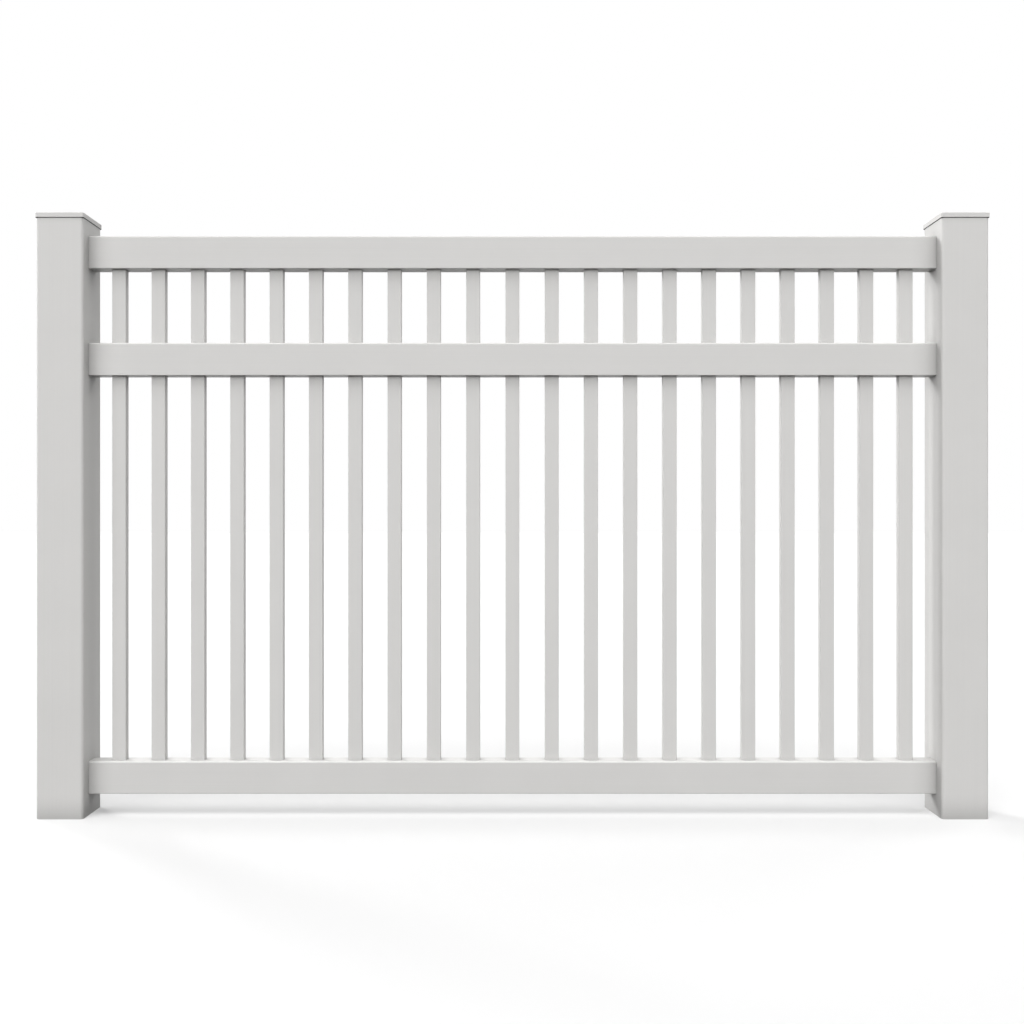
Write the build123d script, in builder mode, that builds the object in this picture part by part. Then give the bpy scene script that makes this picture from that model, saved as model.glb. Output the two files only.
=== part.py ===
"""One bay of a vinyl pool fence: two routed posts with flat caps, three rails and a row of pickets.

Millimetres. X runs along the fence, Y to the back and Z up, with the origin at ground level
under the middle of the left post.
"""

import os

from build123d import *

# Posts
post_spacing = 2441.575
post_size = 127.0
post_wall = 3.8
post_corner_radius = 7.9
post_rise_above_top_rail = 49.5

# Flat caps that slip over the posts
cap_wall = 1.9
cap_clearance = 0.25
cap_top_thickness = 3.5
cap_skirt_depth = 10.7
cap_corner_radius = 5.0
cap_edge_chamfer = 1.2
cap_rim_thickness = 0.4
cap_undercut_height = 1.5

# Rails
rail_depth = 50.8
rail_height = 88.9
rail_wall = 2.4
rail_top_radius = 5.0
rail_bottom_radius = 1.5
rail_insertion = 38.1
rail_clearance = 0.5
ground_clearance = 58.7
bottom_to_mid_rail = 1143.0
mid_to_top_rail = 292.1

# Pickets
picket_width = 38.1
picket_depth = 22.2
picket_wall = 1.7
picket_corner_radius = 2.2
picket_gap = 69.85
picket_clearance = 0.4
picket_top_clearance = 3.0
smallest_end_gap = 45.0

# Heights of the rails' undersides and of the posts
bottom_rail_z = ground_clearance
mid_rail_z = bottom_rail_z + bottom_to_mid_rail
top_rail_z = mid_rail_z + mid_to_top_rail
rail_undersides = [bottom_rail_z, mid_rail_z, top_rail_z]
post_height = top_rail_z + rail_height + post_rise_above_top_rail

# Routed holes: a rail rests on the lower edge of its hole, and a picket has clearance all round
rail_hole_width = rail_depth + 2 * rail_clearance
rail_hole_height = rail_height + rail_clearance
picket_hole_width = picket_width + 2 * picket_clearance
picket_hole_depth = picket_depth + 2 * picket_clearance

# The row of pickets fills the bay between the posts and is centred in it
bay_width = post_spacing - post_size
bay_center = post_spacing / 2
picket_pitch = picket_width + picket_gap
picket_steps = int((bay_width - picket_width - 2 * smallest_end_gap) // picket_pitch)
first_picket_x = bay_center - picket_steps * picket_pitch / 2
picket_positions = [first_picket_x + step * picket_pitch for step in range(picket_steps + 1)]


def rail_shape(width, height, top_radius, bottom_radius=0):
    """Rail outline that stands on the X axis, with rounder corners at the top than at the bottom."""
    with BuildSketch() as shape:
        Rectangle(width, height, align=(Align.CENTER, Align.MIN))
        fillet(shape.vertices().group_by(Axis.Y)[-1], top_radius)
        if bottom_radius > 0:
            fillet(shape.vertices().group_by(Axis.Y)[0], bottom_radius)
    return shape.sketch


def save(piece, label):
    piece.part.label = label
    export_step(piece.part, f"parts/{label}.step")


def make_post(label, center_x, panel_side):
    """Post with the wall that faces the panel routed for the rails; panel_side is +1 or -1 along X."""
    inner_face = Plane.YZ.offset(center_x + panel_side * post_size / 2)
    with BuildPart() as post:
        with BuildSketch():
            with Locations((center_x, 0)):
                RectangleRounded(post_size, post_size, post_corner_radius)
                RectangleRounded(
                    post_size - 2 * post_wall,
                    post_size - 2 * post_wall,
                    post_corner_radius - post_wall,
                    mode=Mode.SUBTRACT,
                )
        extrude(amount=post_height)
        with BuildSketch(inner_face):
            for underside in rail_undersides:
                with Locations((0, underside)):
                    add(rail_hole)
        extrude(amount=-panel_side * 2 * post_wall, mode=Mode.SUBTRACT)
    save(post, label)


def make_cap(label, center_x):
    """Flat cap that rests on the post's top edge, with a skirt that tapers in at its lower rim."""
    socket_size = post_size + 2 * cap_clearance
    socket_radius = post_corner_radius + cap_clearance
    outer_size = socket_size + 2 * cap_wall
    undercut_depth = cap_wall - cap_rim_thickness
    with BuildPart() as cap:
        with BuildSketch(Plane.XY.offset(post_height - cap_skirt_depth)):
            with Locations((center_x, 0)):
                RectangleRounded(outer_size, outer_size, cap_corner_radius)
        extrude(amount=cap_skirt_depth + cap_top_thickness)
        chamfer(cap.faces().sort_by(Axis.Z)[-1].edges(), cap_edge_chamfer)
        rim = cap.faces().sort_by(Axis.Z)[0]
        chamfer(rim.edges(), undercut_depth, cap_undercut_height, reference=rim)
        with BuildSketch(Plane.XY.offset(post_height - cap_skirt_depth)):
            with Locations((center_x, 0)):
                RectangleRounded(socket_size, socket_size, socket_radius)
        extrude(amount=cap_skirt_depth, mode=Mode.SUBTRACT)
    save(cap, label)


def make_rail(label, underside, routed_walls):
    """Rail between the posts; routed_walls lists the heights where its routed walls begin."""
    rail_start = post_size / 2 - rail_insertion
    rail_length = bay_width + 2 * rail_insertion
    with BuildPart() as rail:
        with BuildSketch(Plane.YZ.offset(rail_start)):
            with Locations((0, underside)):
                add(rail_outline)
            with Locations((0, underside + rail_wall)):
                add(rail_core, mode=Mode.SUBTRACT)
        extrude(amount=rail_length)
        for wall_start in routed_walls:
            with BuildSketch(Plane.XY.offset(wall_start)):
                with Locations(*[(x, 0) for x in picket_positions]):
                    Rectangle(picket_hole_width, picket_hole_depth)
            extrude(amount=rail_wall, mode=Mode.SUBTRACT)
    save(rail, label)


def make_picket(label, center_x):
    """Picket that stands on the bottom rail's floor and ends just under the top rail's upper wall."""
    foot = bottom_rail_z + rail_wall
    head = top_rail_z + rail_height - rail_wall - picket_top_clearance
    with BuildPart() as picket:
        with BuildSketch(Plane.XY.offset(foot)):
            with Locations((center_x, 0)):
                RectangleRounded(picket_width, picket_depth, picket_corner_radius)
                Rectangle(
                    picket_width - 2 * picket_wall,
                    picket_depth - 2 * picket_wall,
                    mode=Mode.SUBTRACT,
                )
        extrude(amount=head - foot)
    save(picket, label)


os.makedirs("parts", exist_ok=True)

rail_outline = rail_shape(rail_depth, rail_height, rail_top_radius, rail_bottom_radius)
rail_hole = rail_shape(rail_hole_width, rail_hole_height, rail_top_radius, rail_bottom_radius)
rail_core = rail_shape(
    rail_depth - 2 * rail_wall,
    rail_height - 2 * rail_wall,
    rail_top_radius - rail_wall,
)

make_post("left_post", 0, 1)
make_post("right_post", post_spacing, -1)
make_cap("left_post_cap", 0)
make_cap("right_post_cap", post_spacing)

upper_wall = rail_height - rail_wall
make_rail("top_rail", top_rail_z, [top_rail_z])
make_rail("mid_rail", mid_rail_z, [mid_rail_z, mid_rail_z + upper_wall])
make_rail("bottom_rail", bottom_rail_z, [bottom_rail_z + upper_wall])

for number, picket_x in enumerate(picket_positions, start=1):
    make_picket(f"picket_{number:02d}", picket_x)
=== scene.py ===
"""Looks of the pool fence panel: off-white satin vinyl on a white studio floor."""

import math

import bpy
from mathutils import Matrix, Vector

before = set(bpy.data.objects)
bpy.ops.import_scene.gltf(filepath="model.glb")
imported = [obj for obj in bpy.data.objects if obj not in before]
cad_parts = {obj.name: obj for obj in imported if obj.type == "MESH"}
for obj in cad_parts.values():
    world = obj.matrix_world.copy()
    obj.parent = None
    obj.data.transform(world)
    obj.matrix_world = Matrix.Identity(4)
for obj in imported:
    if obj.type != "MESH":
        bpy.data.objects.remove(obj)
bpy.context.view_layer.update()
scene = bpy.context.scene

# Off-white vinyl, in linear light
VINYL = (0.72, 0.7125, 0.699, 1.0)
VINYL_IOR = 1.48
VINYL_SPECULAR = 0.25

# Painted shade in the inner corners, darker where ambient occlusion finds near surfaces: how far
# a corner reaches, in metres, and the tone deep in it
PAINTED_CORNER_SHADE_REACH = 0.07
PAINTED_CORNER_SHADE_TONE = 0.65

# How much painted shade darkens the faces that look down, as the joint under a cap's lip
CAP_PAINTED_UNDERSIDE_SHADE = 0.92

# Floor: its size in metres, its shade for bounced light and as it is seen, and its own glow
FLOOR_SIZE = 80.0
FLOOR_SHADE_BOUNCED = 0.05
FLOOR_SHADE_SEEN = 0.6
FLOOR_GLOW_SEEN = 0.27

# World: the light that it sends, and the white that is seen
WORLD_LIGHT = 0.02
WORLD_WHITE = 1.0

# Camera: level and square on to the fence, in metres, with lens and sensor in millimetres
CAMERA_PLACE = (1.2196, -2.950, 0.8283)
CAMERA_LENS = 37.66
CAMERA_SENSOR = 36.0

# Where the lamps are drawn from the middle of the fence; a sun's place doesn't change its light
LAMP_CENTER = Vector((CAMERA_PLACE[0], 0, 1))
LAMP_DISTANCE = 4


class Nodes:
    """A node tree with short calls for adding nodes and links."""

    def __init__(self, tree):
        self.tree = tree
        tree.nodes.clear()

    def add(self, kind, **settings):
        node = self.tree.nodes.new(kind)
        for name, value in settings.items():
            setattr(node, name, value)
        return node

    def link(self, source, target):
        self.tree.links.new(source, target)

    def math(self, operation, a, b):
        node = self.add("ShaderNodeMath", operation=operation)
        for socket, value in zip(node.inputs, (a, b)):
            if isinstance(value, (int, float)):
                socket.default_value = value
            else:
                self.link(value, socket)
        return node.outputs[0]

    def noise(self, vector, scale, detail, roughness):
        node = self.add("ShaderNodeTexNoise")
        node.inputs["Scale"].default_value = scale
        node.inputs["Detail"].default_value = detail
        node.inputs["Roughness"].default_value = roughness
        self.link(vector, node.inputs["Vector"])
        return node.outputs["Fac"]

    def stretched(self, vector, scale):
        node = self.add("ShaderNodeMapping")
        node.inputs["Scale"].default_value = scale
        self.link(vector, node.inputs["Vector"])
        return node.outputs["Vector"]

    def ranged(self, value, low, high, to_low, to_high):
        node = self.add("ShaderNodeMapRange", clamp=True)
        names = ("From Min", "From Max", "To Min", "To Max")
        for name, number in zip(names, (low, high, to_low, to_high)):
            node.inputs[name].default_value = number
        self.link(value, node.inputs["Value"])
        return node.outputs["Result"]


def painted_corner_shade(n):
    """Painted shade in the inner corners: the tone falls where ambient occlusion finds near
    surfaces.
    """
    corner = n.add("ShaderNodeAmbientOcclusion", samples=8)
    corner.inputs["Distance"].default_value = PAINTED_CORNER_SHADE_REACH
    return n.ranged(corner.outputs["AO"], 0.4, 0.95, PAINTED_CORNER_SHADE_TONE, 1.0)


def painted_underside_shade(n, amount):
    """Painted shade on the faces that look down, as in the joint under a cap's lip."""
    normal = n.add("ShaderNodeSeparateXYZ")
    n.link(n.add("ShaderNodeNewGeometry").outputs["True Normal"], normal.inputs["Vector"])
    return n.ranged(normal.outputs["Z"], -0.6, -0.4, 1.0 - amount, 1.0)


def vinyl(name, along, streaks, peel, painted_shade_below=0.0):
    """Satin vinyl with die lines along its length, an orange peel and painted shade in its inner
    corners.

    along is the length's axis number, or None for a moulded piece; streaks and peel are the
    strengths of the lines and of the peel; the last argument is the amount of painted shade on
    faces that look down.
    """
    material = bpy.data.materials.new(name)
    material.use_nodes = True
    n = Nodes(material.node_tree)
    place = n.add("ShaderNodeTexCoord").outputs["Object"]

    # Faint die lines along the length, broad clouds in the mix and a fine speckle
    scale = [1.0, 1.0, 1.0]
    if along is not None:
        scale[along] = 0.004
    lines = n.noise(n.stretched(place, scale), 420.0, 3.0, 0.6)
    clouds = n.noise(place, 5.0, 3.0, 0.55)
    speckle = n.noise(place, 900.0, 1.0, 0.5)

    tone = n.ranged(clouds, 0.3, 0.7, 0.984, 1.012)
    tone = n.math("MULTIPLY", tone, n.ranged(lines, 0.25, 0.75, 1.0 - streaks, 1.0 + streaks))
    tone = n.math("MULTIPLY", tone, n.ranged(speckle, 0.3, 0.7, 0.994, 1.006))
    # Painted shade: darker in the inner corners
    tone = n.math("MULTIPLY", tone, painted_corner_shade(n))
    # Painted shade: faces that look down are darker
    if painted_shade_below > 0:
        tone = n.math("MULTIPLY", tone, painted_underside_shade(n, painted_shade_below))

    colour = n.add("ShaderNodeMix", data_type="RGBA", blend_type="MULTIPLY")
    colour.inputs["Factor"].default_value = 1.0
    colour.inputs["A"].default_value = VINYL
    n.link(tone, colour.inputs["B"])

    # Satin finish: the gloss varies with the clouds and the die lines
    gloss = n.math("ADD", n.math("MULTIPLY", clouds, 0.16), n.math("MULTIPLY", lines, 0.1))
    roughness = n.ranged(gloss, 0.08, 0.18, 0.36, 0.48)

    # Fine orange peel, with the die lines pressed into it
    pebbles = n.noise(place, 520.0, 2.0, 0.5)
    relief = n.math("ADD", n.math("MULTIPLY", pebbles, peel), n.math("MULTIPLY", lines, 0.5))
    bump = n.add("ShaderNodeBump")
    bump.inputs["Strength"].default_value = 0.12
    bump.inputs["Distance"].default_value = 0.0006
    n.link(relief, bump.inputs["Height"])

    shader = n.add("ShaderNodeBsdfPrincipled")
    shader.inputs["IOR"].default_value = VINYL_IOR
    shader.inputs["Specular IOR Level"].default_value = VINYL_SPECULAR
    n.link(colour.outputs["Result"], shader.inputs["Base Color"])
    n.link(roughness, shader.inputs["Roughness"])
    n.link(bump.outputs["Normal"], shader.inputs["Normal"])
    n.link(shader.outputs["BSDF"], n.add("ShaderNodeOutputMaterial").inputs["Surface"])
    return material


def dress():
    """Gives every node of the part its own kind of vinyl."""
    posts = vinyl("post_vinyl_satin", 2, 0.012, 1.0)
    # The caps get painted shade on the faces under their lip
    caps = vinyl("cap_vinyl_moulded", None, 0.006, 1.4, painted_shade_below=CAP_PAINTED_UNDERSIDE_SHADE)
    rails = vinyl("rail_vinyl_satin", 0, 0.012, 1.0)
    pickets = vinyl("picket_vinyl_satin", 2, 0.012, 0.9)
    for name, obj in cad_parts.items():
        if name.endswith("_cap"):
            material = caps
        elif name.endswith("_post"):
            material = posts
        elif name.endswith("_rail"):
            material = rails
        else:
            material = pickets
        for slot in obj.material_slots:
            slot.material = material


def studio_seen(n):
    """1 for the rays that show the studio itself, and 0 for the light that it sends on."""
    path = n.add("ShaderNodeLightPath")
    seen = n.math("MAXIMUM", path.outputs["Is Camera Ray"], path.outputs["Is Glossy Ray"])
    return n.math("MAXIMUM", seen, path.outputs["Is Transmission Ray"])


def make_floor():
    """White floor with a pale shadow of the fence, which sends little light back up."""
    bpy.ops.mesh.primitive_plane_add(size=FLOOR_SIZE, location=(CAMERA_PLACE[0], 0, 0))
    floor = bpy.context.object
    floor.name = "studio_floor"
    material = bpy.data.materials.new("studio_floor_white")
    material.use_nodes = True
    n = Nodes(material.node_tree)
    seen = studio_seen(n)
    paint = n.add("ShaderNodeBsdfDiffuse")
    n.link(n.ranged(seen, 0, 1, FLOOR_SHADE_BOUNCED, FLOOR_SHADE_SEEN), paint.inputs["Color"])
    glow = n.add("ShaderNodeEmission")
    n.link(n.math("MULTIPLY", seen, FLOOR_GLOW_SEEN), glow.inputs["Strength"])
    both = n.add("ShaderNodeAddShader")
    n.link(paint.outputs["BSDF"], both.inputs[0])
    n.link(glow.outputs["Emission"], both.inputs[1])
    n.link(both.outputs["Shader"], n.add("ShaderNodeOutputMaterial").inputs["Surface"])
    floor.data.materials.append(material)


def make_world():
    """White backdrop that adds hardly any light of its own."""
    world = bpy.data.worlds.new("studio")
    world.use_nodes = True
    scene.world = world
    n = Nodes(world.node_tree)
    strength = n.ranged(studio_seen(n), 0, 1, WORLD_LIGHT, WORLD_WHITE)
    shader = n.add("ShaderNodeBackground")
    shader.inputs["Color"].default_value = (1, 1, 1, 1)
    n.link(strength, shader.inputs["Strength"])
    n.link(shader.outputs["Background"], n.add("ShaderNodeOutputWorld").inputs["Surface"])


def soft_light(name, azimuth, elevation, spread, power):
    """Distant soft light; azimuth 0 is in front of the fence and 90 to its right, in degrees."""
    data = bpy.data.lights.new(name, "SUN")
    data.angle = math.radians(spread)
    data.energy = power
    lamp = bpy.data.objects.new(name, data)
    a, e = math.radians(azimuth), math.radians(elevation)
    to_light = Vector((math.cos(e) * math.sin(a), -math.cos(e) * math.cos(a), math.sin(e)))
    lamp.rotation_euler = to_light.to_track_quat("Z", "Y").to_euler()
    lamp.location = LAMP_CENTER + LAMP_DISTANCE * to_light
    scene.collection.objects.link(lamp)


def make_camera():
    """Camera that looks along +Y, as the photo was taken."""
    data = bpy.data.cameras.new("camera")
    data.lens = CAMERA_LENS
    data.sensor_width = CAMERA_SENSOR
    camera = bpy.data.objects.new("camera", data)
    camera.location = CAMERA_PLACE
    camera.rotation_euler = (math.radians(90), 0, 0)
    scene.collection.objects.link(camera)
    scene.camera = camera


dress()
make_floor()
make_world()
soft_light("overhead_light", 0, 72, 40, 2.1)
soft_light("front_light", 0, 14, 30, 0.81)
soft_light("front_left_light", -45, 16, 40, 1.1)
soft_light("front_right_light", 45, 16, 40, 0.56)
soft_light("left_light", -104, 14, 30, 1.0)
soft_light("right_light", 90, 18, 30, 0.25)
soft_light("left_back_light", -135, 30, 18, 1.7)
soft_light("right_back_light", 125, 40, 24, 0.45)
make_camera()

scene.view_settings.view_transform = "Standard"
